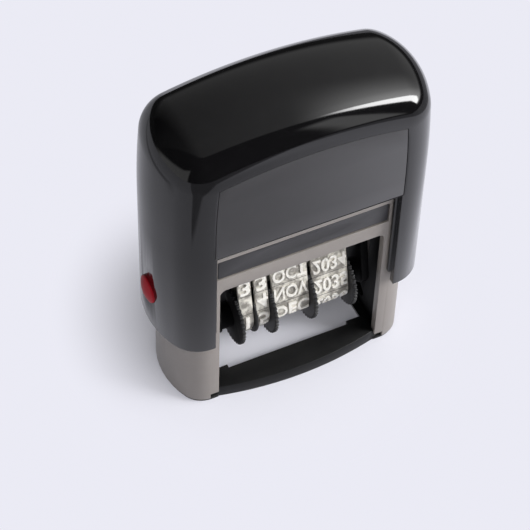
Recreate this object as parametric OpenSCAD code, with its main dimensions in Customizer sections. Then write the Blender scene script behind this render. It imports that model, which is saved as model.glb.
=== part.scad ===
// Self-inking date stamp. Pressing the cap lowers a carriage that hangs in a
// yoke. Two follower pins run in cam slots in the frame and turn the carriage
// half over on the way down, so that the date bands leave the ink pad above
// them and meet the paper below.
// Millimetres, +Z up, the front with the window towards -Y, drawn at rest.

/* [Cap] */
// Length of the cap at its lower edge
cap_len = 64.4; // [63.5:0.1:72]
// Depth of the cap over its flat front and back
cap_depth = 27.8; // [27.2:0.1:32]
// Height of the top of the cap
cap_top_z = 85.7; // [84:0.1:96]
// Height of the lower edge of the cap
cap_skirt_z = 22.6; // [21.5:0.1:26]
// Wall of the cap
cap_wall = 1.5; // [1.2:0.1:1.6]
// Radius of the arched top, seen from the front
cap_arch_r = 113.5; // [90:0.5:160]
// Radius of the rounded edges round the flat front
cap_edge_r = 8.0; // [6:0.1:9]
// Radius of the crowned surface between the front and back edges
cap_crown_r = 22; // [18:0.5:40]
// Radius left at the upper corners of the flat front
cap_face_corner_r = 0.6; // [0.3:0.1:3]
// Height of the upper edge of the cut-out
cutout_top_z = 52.3; // [50:0.1:56]
// Depth of the recess that takes the label plate
plate_recess = 0.35; // [0.2:0.05:0.6]
// Width of the edge left round the label plate
plate_margin = 0.7; // [0.4:0.1:3]
// Gap all round the label plate
plate_gap = 0.12; // [0.05:0.01:0.3]

/* [Frame] */
// Gap between the ends of the cap and the ends of the frame
end_gap = 1.7; // [1.4:0.1:2.2]
// Gap between the front of the cap and the front of the frame
side_gap = 0.9; // [0.6:0.1:1.2]
// Wall of the frame
frame_wall = 1.8; // [1.4:0.1:2.2]
// Radius of the upright edges of the frame
frame_edge_r = 6; // [5:0.1:7]
// Radius of the rounded ends of the frame
frame_crown_r = 18.5; // [15:0.5:30]
// Distance from the sides of the window to the cam plates
window_side = 2; // [1.6:0.1:2.2]
// Height of the upper edge of the window
window_top_z = 38.5; // [38:0.1:39.5]
// Radius of the upper corners of the window
window_corner_r = 1.6; // [0.5:0.1:3]
// Height of the bar between the window and the pad slot
bar_h = 4; // [3:0.1:4.4]
// Height of the pad slot
slot_h = 6; // [5.4:0.1:6.4]
// Distance from the ends of the pad slot to the cam plates
slot_side = 1.3; // [0.8:0.1:1.6]
// Height of the top of the frame
frame_top_z = 52.2; // [51.5:0.1:54]
// Thickness of the plate that closes the top of the frame
top_plate_t = 2; // [1.5:0.1:2.4]
// Distance from the cam plates to the ends of the frame
pocket_len = 7; // [6.6:0.1:7.4]
// Thickness of the cam plates
cam_plate_t = 2; // [1.5:0.1:2.2]

/* [Foot ring] */
// Thickness of the sole under the frame
sole_t = 0.8; // [0.5:0.1:1.4]
// Distance that the sole stays inside the frame
sole_inset = 0.3; // [0.1:0.05:0.8]
// Distance of the bowed bars behind the front of the cap
ring_in = 0.55; // [0.3:0.05:1.2]
// Height of the bowed bars
ring_h = 3.3; // [2.6:0.1:4]
// Bow of the bars over their length
ring_bow = 2.85; // [2:0.05:3.4]
// Depth of the opening in the ring
ring_open_d = 13.6; // [12:0.1:15]
// Length of the tabs that lie in the notches of the frame
tab_len = 1.9; // [1:0.1:2.2]
// Height of those tabs
tab_h = 2.2; // [1.6:0.1:2.6]
// Length of the steps at the ends of the opening
step_len = 4.6; // [3:0.1:5]
// Depth of those steps
step_in = 0.9; // [0.4:0.1:1.2]
// Diameter of the pegs of the ring
peg_d = 2.5; // [1.8:0.1:3]

/* [Press and flip] */
// Travel of the cap
stroke = 20; // [18:0.5:20.5]
// Distance of the follower pins from the trunnion pins
follower_arm = 6.5; // [5.5:0.1:7]
// Diameter of the trunnion pins
trunnion_d = 4; // [3:0.1:4.4]
// Diameter of the follower pins
follower_d = 2.4; // [2:0.1:2.8]
// Clearance of a pin in its slot
slot_gap = 0.2; // [0.1:0.05:0.4]
// Depth of the arms of the yoke
arm_depth = 7; // [6.4:0.1:7.4]
// Clearance on each side of an arm
arm_gap = 0.35; // [0.2:0.05:0.4]
// Thickness of the bridge of the yoke
bridge_t = 2.4; // [1.8:0.1:3]
// Height of the upper face of the bridge
bridge_z = 78.6; // [76:0.1:79.2]
// Wall of the spring cup on the bridge
cup_wall = 1.2; // [0.8:0.1:1.6]

/* [Carriage and wheels] */
// Distance from the cheeks to the cam plates
cheek_gap = 2.7; // [2.5:0.1:3.4]
// Thickness of a cheek
cheek_t = 1.8; // [1.4:0.1:2.2]
// Distance of the wheel axle in front of the middle
axle_out = 4.2; // [3:0.1:4.5]
// Height of the wheel axle
axle_z = 19.9; // [19:0.1:22]
// Diameter of the wheel axle
axle_d = 3; // [2:0.1:3.4]
// Radius of the thumb discs
disc_r = 7.6; // [6.5:0.1:8]
// Thickness of the thumb discs
disc_t = 0.8; // [0.6:0.05:1]
// Number of teeth round a thumb disc
disc_teeth = 40; // [20:1:48]
// Height of those teeth
tooth_h = 0.5; // [0.2:0.05:0.8]
// Radius of the hubs that carry the bands
hub_r = 3.75; // [3:0.05:4]
// Radius of the disc between the two day wheels
spacer_r = 5.9; // [5.4:0.1:6.5]
// Thickness of that disc
spacer_t = 0.5; // [0.4:0.05:0.8]
// Length of the bosses between the cheeks and the row of wheels
boss_len = 3.1; // [2:0.1:4]
// Depth of the platen
platen_depth = 6.4; // [5:0.1:7]
// Height of the platen
platen_h = 3.6; // [3:0.1:5]
// Radius of the upper edges of the platen
platen_edge_r = 1.2; // [0.6:0.1:1.6]
// Distance that each side of the platen draws in towards its lower face
platen_taper = 0.8; // [0.6:0.1:1.4]

/* [Bands and pad] */
// Width of each of the two day bands
day_band_w = 3.15; // [2.8:0.05:3.3]
// Thickness of a band
band_t = 0.9; // [0.6:0.05:1.1]
// Height of the characters on a band
relief_h = 0.35; // [0.2:0.05:0.5]
// Clearance between a band and what it runs over
band_gap = 0.1; // [0.05:0.01:0.2]
// Thickness of the felt
felt_t = 3.4; // [2.5:0.1:3.6]
// Wall of the tray at the ends of the felt
tray_end = 3.35; // [2.5:0.05:4]
// Wall of the tray in front of and behind the felt
tray_side = 3.15; // [2:0.05:4]
// Length of the finger groove in the front of the tray
groove_len = 24; // [18:0.5:30]
// Depth of the finger groove
groove_depth = 0.5; // [0.2:0.05:0.8]
// Radius of the section of the finger groove
groove_r = 3.5; // [2.5:0.1:4]
// Distance that the felt stands out below its tray
felt_proud = 0.05; // [0.02:0.01:0.08]

/* [Lock buttons] */
// Diameter of a lock button
button_d = 6.6; // [6:0.1:8]
// Height of the middle of a lock button
button_z = 32.9; // [31.5:0.1:36]
// Distance that a button stands out of the cap
button_out = 1; // [0.5:0.1:1.2]
// Travel of a button
button_travel = 1; // [0.6:0.1:1.1]
// Diameter of the pin that locks into the frame
lock_pin_d = 3; // [2:0.1:4]

/* [Return spring] */
// Thickness of the wire
wire_d = 1.1; // [0.8:0.1:1.3]
// Diameter of the coil to the middle of the wire
coil_d = 8.8; // [8:0.1:10]
// Number of turns
coil_turns = 7; // [5:0.5:8]

/* [Clearances] */
// Clearance of a running fit, on the radius
run_gap = 0.05; // [0.02:0.01:0.08]
// Clearance between fixed pieces
seat_gap = 0.1; // [0.05:0.01:0.15]
// Clearance between neighbouring wheels
wheel_gap = 0.06; // [0.04:0.01:0.1]
// Clearance between the characters and the felt or the paper
print_gap = 0.1; // [0.05:0.01:0.2]

/* [Hidden] */
$fn = 64;
eps = 0.02;
through = 200;

// Cap: the same outline moved inwards by a wall gives the inside.
edge_in = cap_crown_r - sqrt(pow(cap_crown_r - cap_edge_r, 2)
                             - pow(cap_depth / 2 - cap_edge_r, 2));
cap_corner_r = edge_in + cap_face_corner_r;
arch_z = cap_top_z - cap_arch_r;
cap_cx = cap_len / 2 - cap_corner_r;
cap_cz = arch_z + sqrt(pow(cap_arch_r - cap_corner_r, 2) - cap_cx * cap_cx);
cap_blend = 0.25;
cap_steps = 6;

// Frame inside the cap, window, cut-out and slot between the cam plates.
frame_len = cap_len - 2 * (cap_wall + end_gap);
frame_depth = cap_depth - 2 * (cap_wall + side_gap);
cam_plate_x = frame_len / 2 - pocket_len;
cutout_len = 2 * cam_plate_x;
window_len = 2 * (cam_plate_x - window_side);
slot_len = 2 * (cam_plate_x - slot_side);
ring_depth = cap_depth - 2 * ring_in;

// Pad slot, felt and flip: the characters rest just under the felt, and
// after the stroke and half a turn just above the table.
slot_z = window_top_z + bar_h;
tray_gap = 0.15;
tray_z = slot_z + tray_gap;
tray_depth = frame_depth - 2 * tray_gap;
felt_len = slot_len - 2 * (tray_gap + tray_end);
felt_depth = tray_depth - 2 * tray_side;
felt_z = tray_z - felt_proud;
print_z = felt_z - print_gap;
axis_z = (print_z + stroke + print_gap) / 2;
print_r = print_z - axis_z;
platen_top = print_z - relief_h - band_t - band_gap;

// Flange that keeps a lock button in the cap.
flange_step = 0.7;
flange_d = button_d + 2 * flange_step;

// Carriage and the row of wheels along its axle. The month and the year share
// what the day bands leave.
cheek_span = 2 * (cam_plate_x - cheek_gap);
cheek_x = cheek_span / 2 - cheek_t;
stack_w = 2 * (cheek_x - boss_len - wheel_gap);
month_band_w = (stack_w - disc_t * 4 - spacer_t - day_band_w * 2 - band_gap * 8 - wheel_gap * 4) / 2;
year_band_w = month_band_w;
x_tens = -stack_w / 2;
x_spacer = x_tens + disc_t + day_band_w + 2 * band_gap + wheel_gap;
x_units = x_spacer + spacer_t + wheel_gap;
x_month = x_units + day_band_w + 2 * band_gap + disc_t + wheel_gap;
x_year = x_month + month_band_w + 2 * band_gap + disc_t + wheel_gap;
hub_band_r = hub_r + band_gap;

// Yoke arms run in the pockets between the cam plates and the frame's ends.
arm_x = cam_plate_x + cam_plate_t + arm_gap;
arm_t = frame_len / 2 - frame_wall - arm_gap - arm_x
        + end_inset(arm_depth / 2, frame_depth / 2 - frame_wall, frame_crown_r - frame_wall,
                    frame_edge_r - frame_wall);
arm_low_z = axis_z - arm_depth / 2;
pocket_floor_t = 3.2;
pocket_floor_z = sole_t + pocket_floor_t;

// Foot ring: the bowed bar is an arc over the length between its tab ends.
bow_half = window_len / 2 + tab_len;
bow_r = (bow_half * bow_half + ring_bow * ring_bow) / (2 * ring_bow);
peg_x = arm_x + arm_t / 2;
peg_h = 2.4;
peg_in = 5;
peg_y = frame_depth / 2 - frame_wall - peg_in;
tab_back = 2;
tab_lap = 0.4;
notch_in = 1;
notch_out = 5;

// Spring between the top plate and the cup of the yoke, which lies close
// under the roof of the cap.
stub_gap = 0.3;
stub_d = coil_d - wire_d - 2 * stub_gap;
stub_h = 2.6;
roof_z = cap_top_z - cap_wall;
cup_gap = 0.5;
cup_d = coil_d + wire_d + 2 * cup_gap;
cup_r = cup_d / 2 + cup_wall;
cup_top = roof_z - 2 * seat_gap
          + end_inset(cup_r, cap_depth / 2 - cap_wall, cap_crown_r - cap_wall, cap_edge_r - cap_wall);
spring_low = frame_top_z;
spring_high = cup_top - cup_wall;

// Shared shapes.

// Half outline of a rounded end: u inwards from its crown, y across.
function end_curve(half, crown_r, edge_r, steps = 8) =
    let (inset = crown_r - sqrt(pow(crown_r - edge_r, 2) - pow(half - edge_r, 2)),
         a = asin((half - edge_r) / (crown_r - edge_r)),
         edge = [for (i = [0 : steps]) let (t = 90 - (90 - a) * i / steps)
                 [edge_r * cos(t) - inset, half - edge_r + edge_r * sin(t)]],
         crown = [for (i = [1 : steps - 1]) let (t = a - 2 * a * i / steps)
                  [crown_r * cos(t) - crown_r, crown_r * sin(t)]])
    concat(edge, crown, [for (i = [steps : -1 : 0]) [edge[i][0], -edge[i][1]]]);

// The same outline at one place across it.
function end_inset(y, half, crown_r, edge_r) =
    let (a = asin((half - edge_r) / (crown_r - edge_r)),
         inset = crown_r - sqrt(pow(crown_r - edge_r, 2) - pow(half - edge_r, 2)))
    y < crown_r * sin(a) ? sqrt(crown_r * crown_r - y * y) - crown_r
                         : sqrt(edge_r * edge_r - pow(y - half + edge_r, 2)) - inset;

// Plan of a body with two rounded ends.
module end_to_end(len, depth, crown_r, edge_r, steps = 8) {
    curve = end_curve(depth / 2, crown_r, edge_r, steps);
    polygon(concat([for (p = curve) [len / 2 + p[0], p[1]]],
                   [for (p = curve) [-len / 2 - p[0], -p[1]]]));
}

// A flat outline in Y and Z, given thickness along X.
module along_x(x, len) {
    translate([x, 0, 0]) rotate([90, 0, 90]) linear_extrude(len) children();
}

// A round bar along X.
module bar_x(x, len, d, y = 0, z = 0) {
    translate([x, y, z]) rotate([0, 90, 0]) cylinder(d = d, h = len);
}

// A block given by its middle in X and Y and its lower face.
module block(size, pos) {
    translate([pos[0] - size[0] / 2, pos[1] - size[1] / 2, pos[2]]) cube(size);
}

module both_ends() {
    children();
    mirror([1, 0, 0]) children();
}

// Body of the cap, moved inwards by a wall: the upright plan with its rounded
// ends, under a wide arched crown of the same section, with the same section
// again turned round the two upper corners. The corners stand a blend outside
// the true tangent round, so that the surfaces cross and don't only touch.
module cap_body(inset, low_z) {
    half = cap_depth / 2 - inset;
    curve = end_curve(half, cap_crown_r - inset, cap_edge_r - inset, cap_steps);
    r = cap_corner_r - inset + cap_blend;
    face_r = r + inset - edge_in;
    beyond = 2 * half;
    difference() {
        intersection() {
            translate([0, 0, low_z]) linear_extrude(through)
                end_to_end(cap_len - 2 * inset, 2 * half, cap_crown_r - inset,
                           cap_edge_r - inset, cap_steps);
            translate([0, 0, arch_z]) rotate([90, 0, 0]) rotate_extrude($fn = 180)
                polygon(concat([for (p = curve) [cap_arch_r - inset + p[0], p[1]]],
                               [[0, -half], [0, half]]));
        }
        both_ends() translate([cap_cx, 0, cap_cz]) difference() {
            translate([0, -beyond, 0]) cube([through, 2 * beyond, through]);
            rotate([90, 0, 0]) rotate_extrude($fn = 96)
                polygon(concat([[0, beyond + 1], [face_r, beyond + 1]],
                               [for (p = curve) [r + p[0], p[1]]],
                               [[face_r, -beyond - 1], [0, -beyond - 1]]));
        }
    }
}

// Outline of the label plate, grown or shrunk by a gap: straight below and at
// the ends, arched above like the cap.
module plate_outline(gap) {
    face_half = cap_len / 2 - edge_in - plate_margin + gap;
    face_low = cutout_top_z + plate_margin - gap;
    intersection() {
        translate([-face_half, face_low]) square([2 * face_half, through]);
        translate([0, arch_z]) circle(r = cap_arch_r - edge_in - plate_margin + gap, $fn = 180);
    }
}

// Route of a follower pin while the cap goes down and the carriage turns.
function follower_at(a) = [follower_arm * sin(a),
                           axis_z - stroke * a / 180 + follower_arm * cos(a)];
function follower_way(a) = let (v = [follower_arm * cos(a),
                                     -stroke / PI - follower_arm * sin(a)])
                           v / norm(v);
module cam_slot(w, steps = 18) {
    side = function (s) [for (i = [0 : steps]) let (a = 180 * i / steps, t = follower_way(a))
                         follower_at(a) + s * w / 2 * [-t[1], t[0]]];
    cap = function (a, turn) let (t = follower_way(a))
          [for (b = [15 : 15 : 165]) follower_at(a)
           + w / 2 * (cos(b) * [-t[1], t[0]] + sin(b) * t) * turn];
    left = side(1);
    right = side(-1);
    polygon(concat(left, cap(180, 1), [for (i = [steps : -1 : 0]) right[i]], cap(0, -1)));
}

// Toothed thumb disc.
module toothed_disc() {
    step = 360 / disc_teeth;
    form = [[0, 0], [0.2, 1], [0.5, 1], [0.7, 0]];
    polygon([for (i = [0 : disc_teeth - 1], f = form)
             let (r = disc_r - tooth_h + tooth_h * f[1], a = step * (i + f[0]))
             [r * cos(a), r * sin(a)]]);
}

// Thumb wheel: a hub for one band and a toothed disc on its left or right.
module thumb_wheel(x, band_w, disc_left) {
    hub_w = band_w + 2 * band_gap;
    hub_x = disc_left ? x + disc_t : x;
    disc_x = disc_left ? x : x + hub_w;
    difference() {
        union() {
            bar_x(hub_x - (disc_left ? eps : 0), hub_w + eps, 2 * hub_r, -axle_out, axle_z);
            along_x(disc_x, disc_t) translate([-axle_out, axle_z]) toothed_disc();
        }
        bar_x(x - 1, hub_w + disc_t + 2, axle_d + 2 * run_gap, -axle_out, axle_z);
    }
}

// Outline of a band's path, grown outwards from the hub and the platen.
module band_path(grow) {
    hull() {
        translate([-axle_out, axle_z]) circle(r = hub_band_r + grow, $fn = 40);
        for (s = [-1, 1])
            translate([s * (platen_depth / 2 - platen_edge_r), platen_top - platen_edge_r])
                circle(r = platen_edge_r + band_gap + grow, $fn = 32);
    }
}
module date_band(x, w) {
    along_x(x, w) difference() {
        band_path(band_t);
        band_path(0);
    }
}

// Lock button at the right end.
module lock_button() {
    flange_t = 0.5;
    face_x = cap_len / 2 - cap_wall;
    head_x = cap_len / 2 + button_out;
    edge = 0.5;
    bar_x(face_x - run_gap - eps, head_x - edge - face_x + run_gap + eps, button_d, 0, button_z);
    translate([head_x - edge, 0, button_z]) rotate([0, 90, 0])
        cylinder(d1 = button_d, d2 = button_d - 2 * edge, h = edge);
    bar_x(face_x - run_gap - flange_t, flange_t, flange_d, 0, button_z);
    bar_x(face_x - run_gap - flange_t - button_travel, button_travel + eps, lock_pin_d, 0, button_z);
}

// Cap and what goes down with it.

module cap_shell() {
    face_x = cap_len / 2 - cap_wall;
    color([0.05, 0.05, 0.055]) difference() {
        cap_body(0, cap_skirt_z);
        cap_body(cap_wall, cap_skirt_z - 1);
        block([cutout_len, through, cutout_top_z], [0, 0, 0]);
        translate([0, plate_recess - cap_depth / 2, 0]) rotate([90, 0, 0])
            linear_extrude(through) plate_outline(plate_gap);
        both_ends() {
            bar_x(face_x - cap_wall, 4 * cap_wall, button_d + 2 * run_gap, 0, button_z);
            bar_x(face_x - 2 * cap_wall, 2 * cap_wall, flange_d + 2 * seat_gap, 0, button_z);
        }
    }
}

module front_label_plate() {
    color([0.09, 0.09, 0.095])
        translate([0, plate_recess - cap_depth / 2, 0]) rotate([90, 0, 0])
            linear_extrude(plate_recess) plate_outline(0);
}

module drive_yoke() {
    bridge_low = bridge_z - bridge_t;
    color([0.1, 0.1, 0.1]) difference() {
        union() {
            block([2 * (arm_x + arm_t), arm_depth, bridge_t], [0, 0, bridge_low]);
            translate([0, 0, bridge_low])
                cylinder(r = cup_r, h = cup_top - bridge_low);
            both_ends() along_x(arm_x, arm_t) {
                translate([-arm_depth / 2, axis_z]) square([arm_depth, bridge_z - axis_z - eps]);
                translate([0, axis_z]) circle(d = arm_depth);
            }
        }
        translate([0, 0, bridge_low - 1]) cylinder(d = cup_d, h = spring_high - bridge_low + 1);
        both_ends() bar_x(arm_x - 1, arm_t + 2, trunnion_d + 2 * run_gap, 0, axis_z);
    }
}

module lock_button_right() { color([0.72, 0.08, 0.1]) lock_button(); }
module lock_button_left() { color([0.72, 0.08, 0.1]) mirror([1, 0, 0]) lock_button(); }

// Coil: one tube of six sides along a helix, with closed ends.
coil_rings = 12;
coil_sides = 6;
coil_count = round(coil_turns * coil_rings);
coil_seat = 0.05;
coil_low = spring_low + wire_d / 2 + coil_seat;
coil_high = spring_high - wire_d / 2 - coil_seat;
function coil_at(i) = let (a = 360 * i / coil_rings)
    [coil_d / 2 * cos(a), coil_d / 2 * sin(a),
     coil_low + (coil_high - coil_low) * i / coil_count];
function coil_ring(i) = let (a = 360 * i / coil_rings, c = coil_at(i))
    [for (k = [0 : coil_sides - 1]) let (b = 360 * k / coil_sides)
     c + wire_d / 2 * [cos(b) * cos(a), cos(b) * sin(a), sin(b)]];
module return_spring() {
    n = coil_sides;
    points = [for (i = [0 : coil_count]) each coil_ring(i)];
    sides = [for (i = [0 : coil_count - 1], k = [0 : n - 1])
             let (p = i * n + k, q = i * n + (k + 1) % n)
             each [[p, p + n, q + n], [p, q + n, q]]];
    last = coil_count * n;
    ends = [for (k = [1 : n - 2]) each [[0, k, k + 1], [last, last + k + 1, last + k]]];
    color([0.6, 0.6, 0.62]) polyhedron(points, concat(sides, ends));
}

// Frame, foot ring and ink pad, which stay on the table.

module base_frame() {
    color([0.55, 0.53, 0.5]) difference() {
        union() {
            translate([0, 0, sole_t]) linear_extrude(frame_top_z - sole_t) difference() {
                end_to_end(frame_len, frame_depth, frame_crown_r, frame_edge_r);
                end_to_end(frame_len - 2 * frame_wall, frame_depth - 2 * frame_wall,
                           frame_crown_r - frame_wall, frame_edge_r - frame_wall);
            }
            intersection() {
                translate([0, 0, sole_t]) linear_extrude(frame_top_z - sole_t)
                    end_to_end(frame_len - frame_wall, frame_depth - frame_wall,
                               frame_crown_r - frame_wall / 2, frame_edge_r - frame_wall / 2);
                union() {
                    both_ends() block([through, through, pocket_floor_z],
                                      [cam_plate_x + cam_plate_t + seat_gap + through / 2, 0, 0]);
                    block([2 * (cam_plate_x + cam_plate_t), through, top_plate_t],
                          [0, 0, frame_top_z - top_plate_t]);
                }
            }
            translate([0, 0, frame_top_z - eps]) cylinder(d = stub_d, h = stub_h + eps);
        }
        window_cut();
        block([slot_len, through, slot_h], [0, 0, slot_z]);
        both_ends() {
            bar_x(frame_len / 2 - frame_wall - 1, 4, lock_pin_d + 4 * slot_gap, 0, button_z);
            for (s = [-1, 1]) {
                translate([peg_x, s * peg_y, sole_t - 1])
                    cylinder(d = peg_d + 2 * run_gap, h = peg_h + 1.2);
                tab_notch(s);
            }
        }
    }
}

// Notch in the frame for one tab of the foot ring.
module tab_notch(side) {
    near_y = ring_open_d / 2 + tab_back - seat_gap;
    deep = frame_depth / 2 - near_y + notch_out;
    block([tab_len + 2 * seat_gap + notch_in, deep, tab_h + seat_gap],
          [window_len / 2 + (tab_len + seat_gap - notch_in) / 2, side * (near_y + deep / 2), 0]);
}

// Cam plate at the right end: it stands on the sole between the walls of the
// frame and carries the cam slot and the upright slot.
module cam_plate() {
    low_z = sole_t + seat_gap;
    inset = frame_wall + seat_gap;
    difference() {
        intersection() {
            translate([0, 0, low_z]) linear_extrude(frame_top_z - top_plate_t - seat_gap - low_z)
                end_to_end(frame_len - 2 * inset, frame_depth - 2 * inset,
                           frame_crown_r - inset, frame_edge_r - inset);
            block([cam_plate_t, through, through], [cam_plate_x + cam_plate_t / 2, 0, 0]);
        }
        along_x(cam_plate_x - 1, cam_plate_t + 2) cam_slot(follower_d + 2 * slot_gap);
        along_x(cam_plate_x - 1, cam_plate_t + 2) trunnion_slot();
    }
}
module cam_plate_right() { color([0.06, 0.06, 0.065]) cam_plate(); }
module cam_plate_left() { color([0.06, 0.06, 0.065]) mirror([1, 0, 0]) cam_plate(); }

// Window in the front and back: open below, rounded above.
module window_cut() {
    half = window_len / 2;
    r = window_corner_r;
    rotate([90, 0, 0]) linear_extrude(through, center = true) {
        translate([-half, -1]) square([window_len, window_top_z - r + 1]);
        translate([r - half, 0]) square([window_len - 2 * r, window_top_z]);
        for (s = [-1, 1]) translate([s * (half - r), window_top_z - r]) circle(r = r);
    }
}

// Upright slot in which a trunnion pin goes down.
module trunnion_slot() {
    w = trunnion_d + 2 * slot_gap;
    translate([-w / 2, axis_z - stroke]) square([w, stroke]);
    for (z = [axis_z - stroke, axis_z]) translate([0, z]) circle(d = w);
}

module base_ring() {
    half = window_len / 2 - seat_gap;
    color([0.06, 0.06, 0.065]) {
        linear_extrude(sole_t) difference() {
            end_to_end(frame_len - 2 * sole_inset, frame_depth - 2 * sole_inset,
                       frame_crown_r - sole_inset, frame_edge_r - sole_inset);
            square([2 * half, through], center = true);
        }
        for (s = [0, 1]) mirror([0, s, 0]) {
            linear_extrude(ring_h) {
                bowed_bar(half);
                for (e = [-1, 1])
                    translate([e * (half - step_len / 2), -ring_open_d / 2 + step_in / 2])
                        square([step_len, step_in + 2 * eps], center = true);
            }
            linear_extrude(tab_h) intersection() {
                bowed_bar(window_len / 2 + tab_len);
                for (e = [-1, 1])
                    translate([e * (window_len + tab_len) / 2, -ring_open_d / 2 - tab_back - through / 2])
                        square([tab_len + 2 * seat_gap + tab_lap, through], center = true);
            }
        }
        for (x = [-peg_x, peg_x], y = [-peg_y, peg_y])
            translate([x, y, sole_t - eps]) cylinder(d = peg_d, h = peg_h + eps);
    }
}

// Plan of the front bar: an arc in front, straight behind.
module bowed_bar(half) {
    intersection() {
        translate([0, bow_r - ring_depth / 2]) circle(r = bow_r, $fn = 180);
        translate([-half, -through - ring_open_d / 2]) square([2 * half, through]);
    }
}

module ink_pad_tray() {
    h = slot_h - 2 * tray_gap;
    sweep_r = pow(groove_len / 2, 2) / (2 * groove_depth);
    groove_z = tray_z + 0.6 * h;
    color([0.08, 0.08, 0.085]) difference() {
        block([slot_len - 2 * tray_gap, tray_depth, h], [0, 0, tray_z]);
        translate([0, groove_depth - tray_depth / 2 - sweep_r, groove_z]) rotate_extrude($fn = 180)
            translate([sweep_r - groove_r, 0]) circle(r = groove_r);
        block([felt_len + 2 * seat_gap, felt_depth + 2 * seat_gap, felt_t - felt_proud + seat_gap + 1],
              [0, 0, tray_z - 1]);
    }
}

module ink_pad() {
    color([0.12, 0.1, 0.2]) block([felt_len, felt_depth, felt_t], [0, 0, felt_z]);
}

// Carriage and what turns with it.

module carriage() {
    spine_t = 3;
    spine_in = 2.1;
    spine_rise = 4.5;
    spine_low = axle_z + disc_r + 4 * seat_gap;
    spine_h = axis_z + spine_rise - spine_low;
    boss_wall = 1.5;
    boss_d = axle_d + 2 * boss_wall;
    eye_wall = 2;
    foot = [platen_depth, platen_h];
    color([0.07, 0.07, 0.075]) difference() {
        union() {
            both_ends() {
                along_x(cheek_x, cheek_t) hull() {
                    translate([-axle_out, axle_z]) circle(d = axle_d + 2 * eye_wall, $fn = 32);
                    translate([0, axis_z]) circle(d = trunnion_d + 2 * eye_wall, $fn = 32);
                    translate([-platen_depth / 2, platen_top - platen_h]) square(foot);
                }
                bar_x(cheek_x - boss_len, boss_len + eps, boss_d, -axle_out, axle_z);
            }
            block([2 * (cheek_x + eps), spine_t, spine_h], [0, -spine_in, spine_low]);
        }
        bar_x(-cheek_span, 2 * cheek_span, axle_d + 2 * run_gap, -axle_out, axle_z);
        both_ends() {
            bar_x(cheek_x - eps, cheek_span, trunnion_d + 2 * run_gap, 0, axis_z);
            bar_x(cheek_x - eps, cheek_span, follower_d + 2 * run_gap, 0, axis_z + follower_arm);
        }
    }
}

module platen() {
    color([0.1, 0.1, 0.105]) along_x(seat_gap - cheek_x, 2 * (cheek_x - seat_gap)) hull() {
        for (s = [-1, 1])
            translate([s * (platen_depth / 2 - platen_edge_r), platen_top - platen_edge_r])
                circle(r = platen_edge_r, $fn = 32);
        translate([platen_taper - platen_depth / 2, platen_top - platen_h])
            square([platen_depth - 2 * platen_taper, platen_h / 2]);
    }
}

module wheel_axle() {
    color([0.65, 0.65, 0.67]) bar_x(-cheek_span / 2, cheek_span, axle_d, -axle_out, axle_z);
}

module trunnion_pin() { bar_x(cheek_x, arm_x + arm_t - cheek_x, trunnion_d, 0, axis_z); }
module trunnion_pin_right() { color([0.6, 0.6, 0.62]) trunnion_pin(); }
module trunnion_pin_left() { color([0.6, 0.6, 0.62]) mirror([1, 0, 0]) trunnion_pin(); }

module follower_pin() {
    bar_x(cheek_x, cam_plate_x + cam_plate_t - cheek_x, follower_d, 0, axis_z + follower_arm);
}
module follower_pin_right() { color([0.6, 0.6, 0.62]) follower_pin(); }
module follower_pin_left() { color([0.6, 0.6, 0.62]) mirror([1, 0, 0]) follower_pin(); }

module day_tens_wheel() { color([0.03, 0.03, 0.03]) thumb_wheel(x_tens, day_band_w, true); }
module day_units_wheel() { color([0.03, 0.03, 0.03]) thumb_wheel(x_units, day_band_w, false); }
module month_wheel() { color([0.03, 0.03, 0.03]) thumb_wheel(x_month, month_band_w, false); }
module year_wheel() { color([0.03, 0.03, 0.03]) thumb_wheel(x_year, year_band_w, false); }

module spacer_disc() {
    color([0.05, 0.05, 0.05]) difference() {
        bar_x(x_spacer, spacer_t, 2 * spacer_r, -axle_out, axle_z);
        bar_x(x_spacer - 1, spacer_t + 2, axle_d + 2 * run_gap, -axle_out, axle_z);
    }
}

module day_tens_band() { color([0.85, 0.83, 0.78]) date_band(x_tens + disc_t + band_gap, day_band_w); }
module day_units_band() { color([0.85, 0.83, 0.78]) date_band(x_units + band_gap, day_band_w); }
module month_band() { color([0.85, 0.83, 0.78]) date_band(x_month + band_gap, month_band_w); }
module year_band() { color([0.85, 0.83, 0.78]) date_band(x_year + band_gap, year_band_w); }

cap_shell();
front_label_plate();
drive_yoke();
lock_button_left();
lock_button_right();
return_spring();
base_frame();
cam_plate_left();
cam_plate_right();
base_ring();
ink_pad_tray();
ink_pad();
carriage();
platen();
wheel_axle();
trunnion_pin_left();
trunnion_pin_right();
follower_pin_left();
follower_pin_right();
day_tens_wheel();
day_units_wheel();
month_wheel();
year_wheel();
spacer_disc();
day_tens_band();
day_units_band();
month_band();
year_band();
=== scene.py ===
import math
from collections import namedtuple

import bmesh
import bpy
from mathutils import Matrix, Vector


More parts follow.
